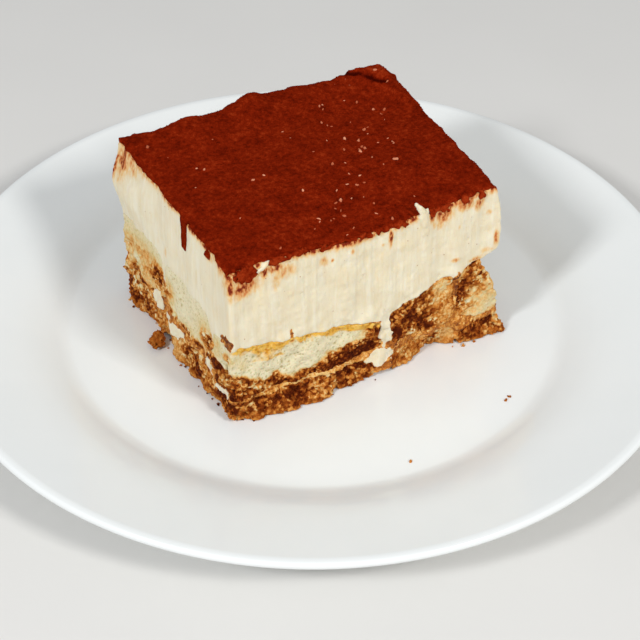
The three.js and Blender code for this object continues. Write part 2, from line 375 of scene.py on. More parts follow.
# Middle and half sizes along X, Y and Z, the lean about the finger's own length in degrees, and how
# much it was squeezed thinner for each millimetre along X.
FINGERS = {
    "ladyfinger_upper_front": ((-33, -34.6, 23.15), (39, 14.0, 8.35), 0, 0.0072),
    "ladyfinger_upper_middle": ((-34, -5.6, 27.6), (38, 14.5, 8.5), 2, 0),
    "ladyfinger_upper_back": ((-34, 24.6, 27.7), (39, 14.6, 8.6), -3, 0),
    "ladyfinger_upper_cross_inner": ((18.3, -2, 23.5), (10.8, 48, 7.4), 0, -0.026),
    "ladyfinger_upper_cross_outer": ((44.3, -2, 25.2), (14.4, 48, 10.2), 3, 0),
    "ladyfinger_lower_front": ((-36, -34.4, 9.9), (38.6, 14.2, 3.8), 0, 0),
    "ladyfinger_lower_middle": ((-36, -5.4, 11.7), (39, 14.4, 5.5), 0, 0),
    "ladyfinger_lower_back": ((-36, 24.6, 12.2), (39, 14.9, 6.0), 0, 0),
    "ladyfinger_lower_cross_inner": ((19.5, -2, 9.4), (11.2, 48, 4.6), -2, 0),
    "ladyfinger_lower_cross_outer": ((45.4, -2, 9.3), (14.1, 48, 4.4), 0, 0),
}

# Where the coffee reached: the height it soaked up to, as (x, z) along the cut, how wet it left the
# sponge, and stains: a spot (x, y, z), its reach, and how much wetter or drier it is.
SOAKING = {
    "ladyfinger_upper_front": (
        [(-42, 24), (-36, 21.8), (-29, 19.4), (-25, 17.8), (-17, 18.4), (-12, 20.3), (1, 20.8)],
        0.66,
        [
            ((-34, -33, 17), 5.0, -0.24),
            ((-24, -33, 16), 2.5, 0.15),
            ((2.5, -33, 19), 4.5, 0.40),
            ((4.0, -33, 25), 3.6, 0.75),
            ((-41.5, -30.5, 29), 1.8, 0.45),
            ((-42, -24, 27), 4.5, 0.22),
            ((-42, -20, 20), 4, 0.12),
            ((-43, -27, 21.5), 4.6, -0.34),
            ((-23.2, -33, 30.5), 1.3, 0.45),
            ((-38, -33, 26.5), 2.0, 0.12),
        ],
    ),
    "ladyfinger_upper_middle": (
        [(0, 21.0)],
        0.42,
        [((-43, -18.7, 25.5), 5.0, 0.60), ((-43, -6, 20), 3.5, 0.25), ((-43, 8, 26), 4, 0.36)],
    ),
    "ladyfinger_upper_back": (
        [(0, 21.0)],
        0.34,
        [
            ((-44, 13.5, 27), 4.2, 0.55),
            ((-44, 22, 26), 9, 0.22),
            ((-44, 33, 24), 7, 0.24),
            ((-44, 28.8, 24), 2.2, -0.3),
        ],
    ),
    "ladyfinger_upper_cross_inner": (
        [(0, 40)],
        0.39,
        [
            ((11, -33, 21), 5, 0.20),
            ((16, -33, 26.5), 3.5, 0.28),
            ((21, -33, 19), 4, 0.10),
            ((26, -33, 21), 4.0, -0.14),
            ((25.5, -33, 29.5), 3.6, -0.26),
            ((24.8, -33, 26.0), 1.2, 0.30),
            ((29.5, -33, 32.5), 2.2, 0.45),
            ((17.5, -33, 26.9), 1.2, -0.5),
        ],
    ),
    "ladyfinger_upper_cross_outer": (
        [(0, 15.5)],
        0.35,
        [
            ((31.2, -33, 27), 4.2, 0.46),
            ((30.5, -33, 20), 4.0, 0.36),
            ((35.0, -33, 34.5), 3.8, 0.46),
            ((39.5, -33, 30), 2.4, 0.36),
            ((35.8, -33, 27.5), 3.0, 0.16),
            ((36.3, -33, 18.6), 2.2, 0.20),
            ((39, -33, 26), 9, 0.25),
            ((44, 5, 33), 12, 0.3),
            ((44, -20, 16), 6, 0.3),
        ],
    ),
    "ladyfinger_lower_front": (
        [(0, 30)],
        0.53,
        [
            ((-22.0, -35, 10.4), 3.8, 0.42),
            ((-4, -34, 11.5), 4.5, 0.30),
            ((-13, -35, 11), 4, -0.06),
            ((-36, -35, 12), 4.5, 0.10),
            ((-36, -34, 12.3), 0.9, -0.60),
        ],
    ),
    "ladyfinger_lower_middle": ([(0, 30)], 0.36, [((-44, -9.5, 12.5), 4.2, 0.40), ((-44, 3, 10), 5, -0.10)]),
    "ladyfinger_lower_back": ([(0, 30)], 0.36, [((-44, 31, 9), 7, 0.24), ((-44, 20, 12), 4, 0.12)]),
    "ladyfinger_lower_cross_inner": (
        [(0, 30)],
        0.30,
        [((12, -34, 9), 4, 0.10), ((22.3, -32, 10), 2.8, 0.55), ((28.5, -32, 10.5), 3, -0.10)],
    ),
    "ladyfinger_lower_cross_outer": (
        [(0, 30)],
        0.46,
        [((35.5, -33, 10.5), 3.0, 0.34), ((41.5, -33, 12), 2.6, 0.40), ((45.5, -32, 10), 2.5, -0.12)],
    ),
}

# Pockets where clean cream filled a gap between fingers: a spot on a cut face and three reaches.
CREAM_POCKETS = [
    ((4.9, -34, 12.9), (4.8, 4, 2.5)),
    ((-44, 14.0, 18.2), (3, 3.0, 3.4)),
    ((-44.5, 7.6, 15.6), (3, 2.8, 2.0)),
    ((-44.5, 1.6, 15.4), (3, 4.2, 2.4)),
    ((-44, -19.4, 18.4), (3, 2.3, 2.9)),
    ((-43.5, -26.8, 15.2), (2.5, 2.6, 1.5)),
    ((-42.5, -29.6, 25.0), (2.5, 1.1, 5.5)),
    ((6.7, -33, 24.5), (2.0, 4, 6.4)),
    ((45, -12, 17), (3, 4, 2.2)),
    ((45, 14, 18), (3, 3, 2)),
    ((-18, 37, 19), (3.5, 4, 2)),
    ((20, 35, 16), (3, 4, 1.6)),
]

SPONGE_STEP = 0.3  # distance between the points at which a field is sampled
HIDDEN_DEPTH = 2.6  # nobody sees what lies deeper than this inside the block
HIDDEN_SHARE = 0.1  # share of the faces in there that is kept
FAR = 99.0  # further away than any field reaches


def ease(low, high, value):
    """0 on the side of low and 1 on the side of high, with a soft passage between them."""
    share = np.clip((value - low) / (high - low), 0, 1)
    return share * share * (3 - 2 * share)


def hump(value, middle, reach):
    """1 at the middle, falling off softly to both sides."""
    return np.exp(-(((value - middle) / reach) ** 2))


def mixed(first, second, share):
    """The first at share 0 and the second at share 1."""
    return first + (second - first) * share


def ripple(a, b, size, seed):
    """Smooth unevenness from -1 to 1 over two lengths."""
    u, v = a / size, b / size
    return (
        0.45 * np.sin(1.9 * u + 1.3 * v + 2.1 * seed)
        + 0.35 * np.sin(-2.7 * u + 2.2 * v + 5.3 * seed)
        + 0.2 * np.sin(4.6 * u + 3.9 * v + 1.7 * seed)
    )


LATTICE = 32  # cells along each side of the random tables, after which they repeat
dice = np.random.default_rng(11)
HEIGHTS = dice.uniform(-1, 1, (LATTICE,) * 3).astype(np.float32)
JITTER = dice.uniform(0.14, 0.86, (LATTICE, LATTICE, LATTICE, 3)).astype(np.float32)
CHANCES = dice.uniform(0, 1, (LATTICE,) * 3).astype(np.float32)


def lattice_corners(place):
    """Each of the eight lattice corners round rows of places, as a step and as its table indices."""
    cell = np.floor(place).astype(np.int32)
    for step in itertools.product((0, 1), repeat=3):
        corner = cell + np.array(step, np.int32)
        yield step, corner, tuple((corner & (LATTICE - 1)).T)


def lattice_place(points, size, shift):
    """Rows of points in units of size, shifted so that each seed reads another part of the tables."""
    return (points / np.asarray(size, np.float32) + np.float32(shift + 40)).astype(np.float32)


def lumps(points, size, seed=0):
    """Random unevenness from -1 to 1, with lumps of that size, at rows of points."""
    place = lattice_place(points, size, 7.31 * seed)
    part = place - np.floor(place)
    part = part * part * (3 - 2 * part)
    total = np.zeros(len(points), np.float32)
    for step, _, index in lattice_corners(place):
        weight = HEIGHTS[index]
        for axis in range(3):
            weight = weight * (part[:, axis] if step[axis] else 1 - part[:, axis])
        total += weight
    return total


def nearest(points, size, seed=0):
    """Distance to the nearest of many scattered middles in units of size, and that middle's chance."""
    place = lattice_place(points, size, 5.17 * seed)
    best = np.full(len(points), np.inf, np.float32)
    chance = np.zeros(len(points), np.float32)
    for _, corner, index in lattice_corners(place - 0.5):
        distance = ((place - corner - JITTER[index]) ** 2).sum(1)
        closer = distance < best
        best = np.where(closer, distance, best)
        chance = np.where(closer, CHANCES[index], chance)
    return np.sqrt(best), chance


def back_bulge(s):
    """How far the top bulges out at a share of its back edge's length."""
    return BACK_BULGE * hump(s, 0.62, 0.24)


def plan_shares(x, y):
    """How far a point is along the top from its left edge and from its front edge, from 0 to 1."""
    s = np.clip((x - SLICE_LEFT) / SLICE_LENGTH, 0, 1)
    front = mixed(TOP_CORNERS[0][1], TOP_CORNERS[1][1], s)
    back = mixed(TOP_CORNERS[3][1], TOP_CORNERS[2][1], s) + back_bulge(s)
    t = np.clip((y - front) / (back - front), 0, 1)
    left = mixed(TOP_CORNERS[0][0], TOP_CORNERS[3][0], t)
    right = mixed(TOP_CORNERS[1][0], TOP_CORNERS[2][0], t)
    return np.clip((x - left) / (right - left), 0, 1), t


def top_height(x, y):
    """The top sags along its front edge, has a lip along its back edge, and a fold at one corner."""
    s, t = plan_shares(x, y)
    sag = -2.2 * hump(s, 0.52, 0.3) * (1 - ease(0, 0.35, t))
    bumps = 0.5 * hump(s, 0.03, 0.03) + 1.3 * hump(s, 0.235, 0.085) + 2.0 * hump(s, 0.475, 0.05)
    falling = ease(0.96, 1, s)
    back_lip = (0.5 + 1.5 * ease(0.3, 0.46, s) + bumps) * ease(0.72, 1, t) * (1 - 0.4 * falling)
    fold = 2.8 * ease(-0.07, 0.05, past_crease(s, t)) * ease(0.62, 0.8, t) * (1 - 0.75 * falling)
    front_corner = -0.9 * hump(s, 0, 0.1) * hump(t, 0, 0.1)
    waves = 0.35 * ripple(s * SLICE_LENGTH, t * SLICE_WIDTH, 17, 3)
    return TOP + sag + back_lip + fold + front_corner + waves


def past_crease(s, t):
    """How far a point is behind the crease at which the fold of the back right corner starts."""
    return s - 0.98 + 2.2 * np.maximum(t - 0.75, 0) ** 2


def relief(along, z, seed, spread):
    """How far a cut face stands out: crumbs below, upright grooves in the cream above."""
    cream = ease(CREAM_LINE - 3, CREAM_LINE + 3, z)
    crumbs = 0.75 * ripple(along, z, 6.5, seed) + 0.4 * ripple(along, z * 1.3, 3.1, seed + 5)
    grooves = 0.45 * ripple(along, z * 0.12, 5.2, seed + 9)
    foot = spread * (1 + ripple(along, 0, 9, seed + 2)) * np.exp(-np.maximum(z - BLOCK_FOOT, 0) / 3.2)
    return mixed(crumbs + foot, grooves, cream)


def wall_line(a, b, share, height, axis):
    """Where the flat cut between two corners lies, along one axis."""
    base = mixed(BASE_CORNERS[a][axis], BASE_CORNERS[b][axis], share)
    top = mixed(TOP_CORNERS[a][axis], TOP_CORNERS[b][axis], share)
    return mixed(base, top, height)


def outside_cuts(x, y, z):
    """How far a point is outside the block that the four cuts leave."""
    height = (z - BLOCK_FOOT) / (TOP - BLOCK_FOOT)
    above = np.maximum(z - BLOCK_FOOT, 0)
    s = np.clip((x - SLICE_LEFT) / SLICE_LENGTH, 0, 1)
    t = np.clip((y - SLICE_FRONT) / SLICE_WIDTH, 0, 1)
    hollow = hump(x, 23, 9)  # here the front face is undercut instead of spread
    spread = ease(-43, -36, x) * (1 - 0.9 * hollow)
    pushed = 1.8 * spread * hump(x, -20, 20) * np.exp(-above / 5)
    undercut = -2.4 * hollow * (1 - ease(9, 17, z))
    front = wall_line(0, 1, s, height, 1) - relief(x, z, 1, FOOT_SPREAD * spread) - pushed - undercut - y
    bulge = back_bulge(s) * ease(40, 58, z)
    back = y - (wall_line(3, 2, s, height, 1) + relief(x, z, 4, FOOT_SPREAD) + bulge)
    overhang = 3.2 * ease(0.55, 1, t) * hump(z, 47.5, 8.5)
    spread = FOOT_SPREAD * (0.15 + 0.75 * hump(y, -4, 11))
    nook = 1.4 * hump(y, CHUNK_MIDDLE[1], 4) * np.exp(-above / 4)
    left = wall_line(0, 3, t, height, 0) - relief(y, z, 2, spread) - overhang + nook - x
    waist = mixed(5.4, 3.0, ease(0, 0.4, t)) * hump(z, 34.8, np.where(z > 34.8, 2.3, 7.5))
    overhang = 1.2 * hump(z, 46, 10) + 2.6 * hump(y, -31, 5) * np.exp(-above / 4)
    right = x - (wall_line(1, 2, t, height, 0) + relief(y, z, 3, FOOT_SPREAD) + overhang - waist)
    return soft_most([front, right, back, left], 0.8 + 2.0 * np.exp(-above / 4))


def soft_most(values, softness):
    """The largest of several fields, with the edges between them rounded off."""
    most = values[0]
    for value in values[1:]:
        blend = np.clip(0.5 + 0.5 * (value - most) / softness, 0, 1)
        most = mixed(most, value, blend) + softness * blend * (1 - blend)
    return most


def outside_finger(name, x, y, z):
    """How far a point is outside a whole finger, before any cut."""
    middle, half, lean, slope = FINGERS[name]
    dx, dy, dz = x - middle[0], y - middle[1], z - middle[2]
    turn = math.radians(lean)
    cosine, sine = math.cos(turn), math.sin(turn)
    if half[1] > half[0]:
        dx, dz = dx * cosine - dz * sine, dx * sine + dz * cosine
    else:
        dy, dz = dy * cosine + dz * sine, -dy * sine + dz * cosine
    dz = (dz + half[2]) / (1 - slope * np.clip(dx, -half[0], half[0])) - half[2]
    parts = [np.abs(d) / h for d, h in zip((dx, dy, dz), half)]
    norm = np.maximum(sum(part**BOXINESS for part in parts) ** (1 / BOXINESS), 0.3)
    return np.sqrt(dx * dx + dy * dy + dz * dz) * (1 - 1 / norm)


def outside_eggs(eggs, x, y, z):
    """How far a point is outside the closest of several eggs, each given as a middle and three reaches."""
    closest = FAR
    for middle, reach in eggs:
        parts = [(value - centre) / half for value, centre, half in zip((x, y, z), middle, reach)]
        norm = np.sqrt(sum(part * part for part in parts))
        closest = np.minimum(closest, (norm - 1) * min(reach))
    return closest


def seam(points):
    """The ragged border between sponge and cream."""
    return 0.62 * lumps(points, 3.1, 21) + 0.55 * lumps(points, 1.4, 22) + 0.25 * lumps(points, 0.7, 23)


def pocket_seam(points):
    """The same border round a clean pocket, where single crumbs stick out into the cream."""
    return seam(points) + 0.5 * lumps(points, 0.9, 28)


def ragged_pockets(grid, cuts):
    """How far each point of the grid is outside the pockets of clean cream."""
    pockets = grid.field(outside_eggs, CREAM_POCKETS)
    return grid.roughened(pockets, pocket_seam, reach=2, where=cuts > -HIDDEN_DEPTH)


class Grid:
    """A box full of sample points, at which fields say how far outside a solid each point is."""

    def __init__(self, node, margin, step):
        low, high = (np.array(corner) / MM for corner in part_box(node))
        self.low = low - margin
        self.step = step
        count = np.ceil((high + margin - self.low) / step).astype(int) + 1
        self.axes = [(start + step * np.arange(n)).astype(np.float32) for start, n in zip(self.low, count)]
        self.shape = tuple(count)
        self.x, self.y, self.z = np.meshgrid(*self.axes, indexing="ij", sparse=True)

    def field(self, outside, *settings):
        """What a field says at every sample point."""
        values = outside(*settings, self.x, self.y, self.z)
        return np.broadcast_to(values, self.shape).astype(np.float32)

    def roughened(self, field, height, reach=2.5, where=None):
        """The field with its surface raised by a height worked out at each point close to it."""
        close = np.abs(field) < reach
        if where is not None:
            close &= where
        index = np.nonzero(close)
        points = np.stack([self.axes[axis][index[axis]] for axis in range(3)], 1)
        field = field.copy()
        field[index] -= height(points)
        return field

    def skin(self, field):
        """Points and four-cornered faces of the surface where the field is 0, largest body only.

        A cell that the surface crosses gets a point, amid the crossings on its edges. A crossed edge
        gets a face, between the four cells round it.
        """
        for axis in range(3):  # the outermost samples are outside the solid, so that the skin closes
            for end in (0, -1):
                edge = [slice(None)] * 3
                edge[axis] = end
                field[tuple(edge)] = np.maximum(field[tuple(edge)], 0.5 * self.step)
        inside = field < 0
        strides = np.array([self.shape[1] * self.shape[2], self.shape[2], 1])
        sums = np.zeros((4, field.size))
        rings = []
        for axis in range(3):
            lower, upper = [slice(None)] * 3, [slice(None)] * 3
            lower[axis], upper[axis] = slice(None, -1), slice(1, None)
            spot = np.stack(np.nonzero(inside[tuple(lower)] != inside[tuple(upper)]), 1)
            flat = spot @ strides
            here, there = field.ravel()[flat], field.ravel()[flat + strides[axis]]
            place = spot.astype(float)
            place[:, axis] += here / (here - there)
            first, second = (strides[other] for other in range(3) if other != axis)
            ring = np.stack([flat, flat - first, flat - first - second, flat - second], 1)
            for cell in ring.T:
                for row in range(3):
                    sums[row] += np.bincount(cell, place[:, row], field.size)
                sums[3] += np.bincount(cell, minlength=field.size)
            flip = (here < 0) ^ (axis == 1)
            rings.append(np.where(flip[:, None], ring, ring[:, ::-1]))
        used = np.nonzero(sums[3])[0]
        number = np.full(field.size, -1)
        number[used] = np.arange(len(used))
        points = (sums[:3, used] / sums[3, used]).T * self.step + self.low
        return largest_body(points, number[np.vstack(rings)])


def largest_body(points, faces):
    """Drops loose scraps and sealed bubbles."""
    label = np.arange(len(points))
    edges = np.vstack([faces[:, [0, 1]], faces[:, [1, 2]], faces[:, [2, 3]]])
    while True:
        low = np.minimum(label[edges[:, 0]], label[edges[:, 1]])
        new = label.copy()
        np.minimum.at(new, edges[:, 0], low)
        np.minimum.at(new, edges[:, 1], low)
        new = new[new]
        if np.array_equal(new, label):
            break
        label = new
    keep = label == np.bincount(label).argmax()
    number = np.cumsum(keep) - 1
    return points[keep], number[faces[keep[faces[:, 0]]]]


def places(piece):
    """The piece's points in millimetres."""
    flat = np.empty(len(piece.data.vertices) * 3, np.float32)
    piece.data.vertices.foreach_get("co", flat)
    return flat.reshape(-1, 3) / MM


def deep_inside(piece):
    """Which of the piece's points lie so deep inside the block that nobody sees them."""
    return outside_cuts(*places(piece).T) < -HIDDEN_DEPTH


def thin_out(piece, hidden):
    """Takes most faces away where nobody sees them."""
    group = piece.vertex_groups.new(name="hidden")
    group.add(np.nonzero(hidden)[0].tolist(), 1.0, "REPLACE")
    reducer = piece.modifiers.new("reducer", "DECIMATE")
    reducer.ratio = 1 - (1 - HIDDEN_SHARE) * float(hidden.mean())
    reducer.vertex_group = group.name
    evaluated = piece.evaluated_get(bpy.context.evaluated_depsgraph_get())
    thinner = bpy.data.meshes.new_from_object(evaluated)
    piece.modifiers.remove(reducer)
    piece.vertex_groups.remove(group)
    dense, piece.data = piece.data, thinner
    bpy.data.meshes.remove(dense)


def paint(piece, **values):
    """Stores a number at each point under a name, for the material to read."""
    for name, value in values.items():
        layer = piece.data.attributes.new(name, "FLOAT", "POINT")
        layer.data.foreach_set("value", np.asarray(value, np.float32))


MOST_SOAKED = 0.70  # how dark the wettest sponge is on the whole; single crumbs are paler or darker


def wetness(name, points):
    """How wet with coffee the sponge is, from 0 to about 1."""
    line, most, stains = SOAKING[name]
    x, _, z = points.T
    level = np.interp(x, *zip(*line)) + 1.3 * lumps(points, 4, 3) + 0.7 * lumps(points, 1.4, 16)
    wet = most * (1 - ease(-1.3, 1.3, z - level))
    for spot, reach, amount in stains:
        distance = ((points - np.array(spot, np.float32)) ** 2).sum(1)
        wet = wet + amount * np.exp(-distance / reach**2)
    return np.clip(wet, 0, 1.1)


def crumb(name, points):
    """Height of the crumb over the flat cut, how dark the coffee made it, and how deep its pores are, which
    the material turns into painted shade in the pores.
    """
    wet = wetness(name, points)
    mess = np.clip(wet * 2.2, 0, 1)
    big, big_chance = nearest(points, 1.6, 1)
    small, small_chance = nearest(points, 0.8, 2)
    bubble = np.maximum(0.06 + 0.32 * big_chance - big, 0) * 1.7
    pore = np.maximum(0.22 + 0.34 * small_chance - small, 0) * 0.95
    dry = 0.22 * lumps(points, 2.4, 4) + 0.20 * lumps(points, 0.75, 5) - bubble - pore
    clump = 1.15 * (0.44 - big) + 0.75 * (0.44 - small) + 0.6 * lumps(points, 3.6, 6)
    spread = 0.42 * (big_chance - 0.5) + 0.50 * (small_chance - 0.5)
    spread = spread + 0.24 * lumps(points, 2.6, 7) + 0.14 * lumps(points, 6, 17)
    skin = np.exp(-np.maximum(points[:, 2] - BLOCK_FOOT - 0.8 * lumps(points, 5, 18), 0) / 1.6)
    dark = mixed(np.minimum(wet, MOST_SOAKED) + mess * mess * spread, 0.39 + 0.18 * spread, skin)
    # Pore depth for the painted pore shade: deep in the dry pores, and between the clumps where the sponge is
    # wet.
    hollow = mixed(np.clip((bubble + pore) / 0.30, 0, 1), ease(0.42, 0.75, 0.5 * (big + small)), mess)
    return mixed(dry, clump, mess), dark, hollow


def foot_crumbs(points):
    """Lumps that the knife and the spatula pushed out along the foot."""
    flat = points * np.array((1, 1, 0.4), np.float32)
    near = np.exp(-np.maximum(points[:, 2] - BLOCK_FOOT, 0) / 2.2)
    return near * (0.9 * lumps(flat, 3.8, 8) + 0.8 * lumps(flat, 1.7, 9))


# Colours of the sponge from dry to soaked through.
SPONGE_TONES = (
    (0.0, (0.75, 0.67, 0.46)),
    (0.12, (0.72, 0.58, 0.31)),
    (0.22, (0.74, 0.44, 0.16)),
    (0.34, (0.62, 0.255, 0.050)),
    (0.47, (0.41, 0.118, 0.016)),
    (0.63, (0.20, 0.038, 0.004)),
    (0.85, (0.075, 0.010, 0.0015)),
)


def coffee_sponge_look():
    look = Look("coffee_sponge", Specular_IOR_Level=0.03, Subsurface_Weight=0.10, Subsurface_Scale=0.0008)
    dark, crust, hollow = (look.attribute(name) for name in ("dark", "crust", "hollow"))
    fine = look.grain(0.6, 3) - 0.5
    tone = dark + fine * (dark * 0.5 + 0.10)
    colour = look.ramp(tone, *SPONGE_TONES)
    toast = look.grain(1.6, 4, seed=3)
    gold = look.ramp(toast, (0.3, (0.52, 0.20, 0.016)), (0.5, (0.74, 0.40, 0.06)), (0.68, (0.80, 0.52, 0.13)))
    colour = look.mix(crust * (fine + 1.0), colour, gold)
    # Painted shade in the pores and between the clumps: the colour is multiplied down where 'hollow' is
    # large, by a greyish tint where dry and a brown one where wet.
    painted_pore_shade = look.mix(dark.step(0.10, 0.4), (0.60, 0.55, 0.34), (0.30, 0.15, 0.07))
    colour = look.mix(hollow * 0.75, colour, painted_pore_shade, "MULTIPLY")
    gloss = 0.9 - dark.step(0.3, 0.9) * 0.3
    return look.finish(Base_Color=colour, Roughness=gloss, Normal=look.bump(look.grain(0.4, 3, seed=5), 0.25))


SPONGE_LOOK = coffee_sponge_look()
GROWTH = 0.35  # each finger swelled by this much in the coffee and the damp of the cream
# The baked skin shows gold along the top of the front finger's cut: how deep it goes, and where the
# oven browned it deeper, as the middle along X, the reach and the added depth.
CRUST_DEPTH = 1.3
DEEP_CRUST = [(-31.0, 6.0, 2.5), (-3.0, 6.5, 2.5)]


def baked(name, points):
    """How much of the baked skin shows in the cut, from 0 to 1."""
    if name != "ladyfinger_upper_front":
        return np.zeros(len(points))
    x, y, z = points.T
    above = ease(-1.0, 0.5, z - FINGERS[name][0][2]) * ease(-42.2, -40.5, x)
    uneven = CRUST_DEPTH * (1.0 + 0.75 * lumps(points * np.array((1, 1, 0.2), np.float32), 4, 15))
    for middle, reach, added in DEEP_CRUST:
        uneven = uneven + added * hump(x, middle, reach)
    rise = outside_finger(name, x, y, z + 0.5) - outside_finger(name, x, y, z - 0.5)
    inward = (GROWTH - outside_finger(name, x, y, z)) / np.maximum(rise, 0.5) + seam(points)
    return above * (1 - ease(0.55, 1.0, inward / np.maximum(uneven, 0.3)))


for finger in FINGERS:
    grid = Grid(finger, margin=2.4, step=SPONGE_STEP)
    cuts = grid.field(outside_cuts)
    cut = grid.roughened(
        cuts, lambda rows: crumb(finger, rows)[0] + (foot_crumbs(rows) if "lower" in finger else 0)
    )
    swollen = grid.field(outside_finger, finger) - GROWTH
    whole = grid.roughened(swollen, seam, reach=2, where=cuts > -HIDDEN_DEPTH)
    field = soft_most([whole, cut, BLOCK_FOOT - grid.z], 0.25)
    field = np.maximum(field, -ragged_pockets(grid, cuts))
    sponge = piece_from(finger.replace("ladyfinger", "sponge_finger"), *grid.skin(field), SPONGE_LOOK)
    thin_out(sponge, deep_inside(sponge))
    points = places(sponge)
    _, dark, hollow = crumb(finger, points)
    # hollow carries the painted shade in the pores to the material.
    paint(sponge, dark=dark, crust=baked(finger, points), hollow=hollow)
    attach(sponge, "root")
    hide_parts(finger)

# ------------------------------------------------------------------------------------------------
# Cream
# Mascarpone beaten with egg and sugar, spread between the layers and thickly on top, then chilled.
# The knife dragged it into upright grooves. Coffee stained it brown wherever it lies thin.
# ------------------------------------------------------------------------------------------------

SPLIT = 22.5  # height at which the two creams meet
TUCK = 1.0  # the top cream laps over the middle one by this much, and that one lies a little deeper
CREAM_FOOT = 8.4  # the middle cream reaches down to this height between the lower fingers
CREAM_STEP = 0.4
# Torn flakes of cream that the knife pulled up over the front edge: their middle lines and radii.
FLAKES = [
    [
        ((15.5, -30.8, 61.6), 0.62),
        ((16.4, -31.2, 60.2), 0.80),
        ((17.3, -31.6, 58.2), 1.10),
        ((17.9, -31.6, 55.6), 1.25),
        ((18.3, -31.4, 52.6), 1.20),
        ((18.8, -31.0, 48.8), 0.60),
    ],
    [
        ((18.9, -30.9, 59.6), 0.42),
        ((18.5, -31.3, 58.4), 0.60),
        ((18.0, -31.5, 56.6), 0.80),
    ],
    [
        ((-33.0, -32.4, 57.0), 0.40),
        ((-31.8, -32.5, 57.9), 0.65),
        ((-30.5, -32.1, 58.7), 0.55),
        ((-29.5, -31.6, 59.1), 0.35),
    ],
]
FLAKE_FLATNESS = 1.6  # how much thinner they are from front to back
# Where coffee and crumbs seeped into the cream: a spot on a cut face and its reaches.
SEEPS = [
    ((30.2, -33, 29.5), (2.6, 4, 5.5)),
    ((24.0, -33, 31.5), (2.2, 4, 1.6)),
    ((-42.3, -30.6, 34.6), (2.2, 3.4, 2.2)),
    ((-23.2, -33, 31.8), (0.6, 3, 2.0)),
    ((8.5, -33, 16.5), (2.4, 4, 1.4)),
]
# Cocoa that the knife carried down the cream: a spot on a cut face, its reaches, and its strength.
SMEARS = [
    ((-41.0, -32, 55.0), (0.9, 4, 4.6), 1.0),
    ((-36.4, -32, 55.8), (3.6, 4, 2.6), 1.0),
    ((-37.0, -32, 52.8), (4.8, 4, 3.2), 0.80),
    ((-30.9, -32, 56.0), (1.3, 4, 2.0), 0.95),
    ((-27.6, -32, 56.6), (2.8, 4, 2.2), 0.85),
    ((-25.0, -32, 54.2), (3.8, 4, 2.6), 0.50),
    ((-27.6, -32, 51.6), (1.5, 4, 3.2), 0.42),
    ((-13.0, -32, 52.7), (1.5, 4, 1.9), 0.50),
    ((-10.6, -32, 52.5), (0.45, 4, 0.6), 0.85),
    ((-4.6, -32, 53.6), (0.6, 4, 0.9), 0.62),
    ((5.1, -32, 51.9), (0.6, 4, 0.8), 0.42),
    ((7.4, -32, 54.2), (0.7, 4, 3.4), 0.95),
    ((20.4, -32, 56.2), (1.4, 4, 2.8), 1.0),
    ((24.4, -32, 55.8), (2.8, 4, 2.9), 1.0),
    ((23.2, -32, 52.8), (2.4, 4, 2.0), 0.55),
    ((31.3, -32, 56.8), (2.8, 4, 2.1), 0.80),
    ((36.0, -32, 55.6), (1.8, 4, 2.4), 0.80),
    ((39.4, -32, 51.3), (0.8, 4, 0.9), 0.72),
    ((29.4, -32, 49.8), (0.5, 4, 1.0), 0.34),
    ((42.2, -32, 42.0), (0.8, 4, 2.8), 0.80),
    ((39.6, -32, 38.4), (1.8, 4, 1.0), 0.55),
    ((28.8, -32, 38.8), (1.6, 4, 0.9), 0.58),
    ((36.2, -32, 36.4), (3.0, 4, 0.9), 0.55),
    ((-44, 33.5, 56.0), (4, 3.8, 6.5), 0.82),
    ((-45, 37.4, 52.0), (4, 1.5, 5.0), 1.0),
    ((-44, 28.0, 57.0), (4, 4.0, 3.4), 0.62),
    ((-44, 34.0, 49.0), (4, 1.0, 3.2), 0.42),
    ((-42, -20.0, 57.0), (4, 2.0, 1.6), 0.90),
    ((-42, -27.0, 58.0), (4, 3.4, 3.6), 0.50),
    ((-43, 7.5, 40.0), (4, 1.2, 2.4), 0.34),
    ((44.0, 5.0, 57.5), (4, 20, 3.0), 0.45),
    ((0.0, 38.0, 59.5), (34, 4, 3.4), 0.45),
]


def outside_fingers(x, y, z):
    """How far a point is outside the closest finger."""
    return np.minimum.reduce([outside_finger(name, x, y, z) for name in FINGERS])


def outside_flakes(x, y, z):
    """How far a point is outside the flakes, each of which is a row of tapered, flattened rods."""
    closest = FAR
    flat = (1, FLAKE_FLATNESS, 1)
    for flake in FLAKES:
        for (start, start_radius), (stop, stop_radius) in zip(flake, flake[1:]):
            axis = np.subtract(stop, start) * flat
            parts = [(value - origin) * scale for value, origin, scale in zip((x, y, z), start, flat)]
            share = np.clip(sum(part * along for part, along in zip(parts, axis)) / (axis @ axis), 0, 1)
            gap = np.sqrt(sum((part - share * along) ** 2 for part, along in zip(parts, axis)))
            closest = np.minimum(closest, gap - mixed(start_radius, stop_radius, share))
    return closest


def dragged(points):
    """What the knife did to the cream: grooves, soft tears, chatter marks and pits."""
    x, y, z = points.T
    smooth = 1 - 0.45 * (x < -40)  # the left cut was made with a clean knife
    grooves = 0.26 * lumps(points, (1.9, 1.9, 30), 1) + 0.14 * lumps(points, (0.85, 0.85, 13), 2)
    tears = 0.18 * lumps(points, (3.6, 3.6, 2.6), 3) + 0.12 * lumps(points, 1.1, 4)
    chatter = 0.10 * np.sin(x * 5.6) * hump(x, 10, 8) * hump(z, 39, 6) * (y < 0)
    pit, chance = nearest(points, 4.6, 12)
    pits = np.maximum(0.13 * (chance > 0.45) - pit, 0) * 4.6
    return smooth * (grooves + tears) + chatter - pits


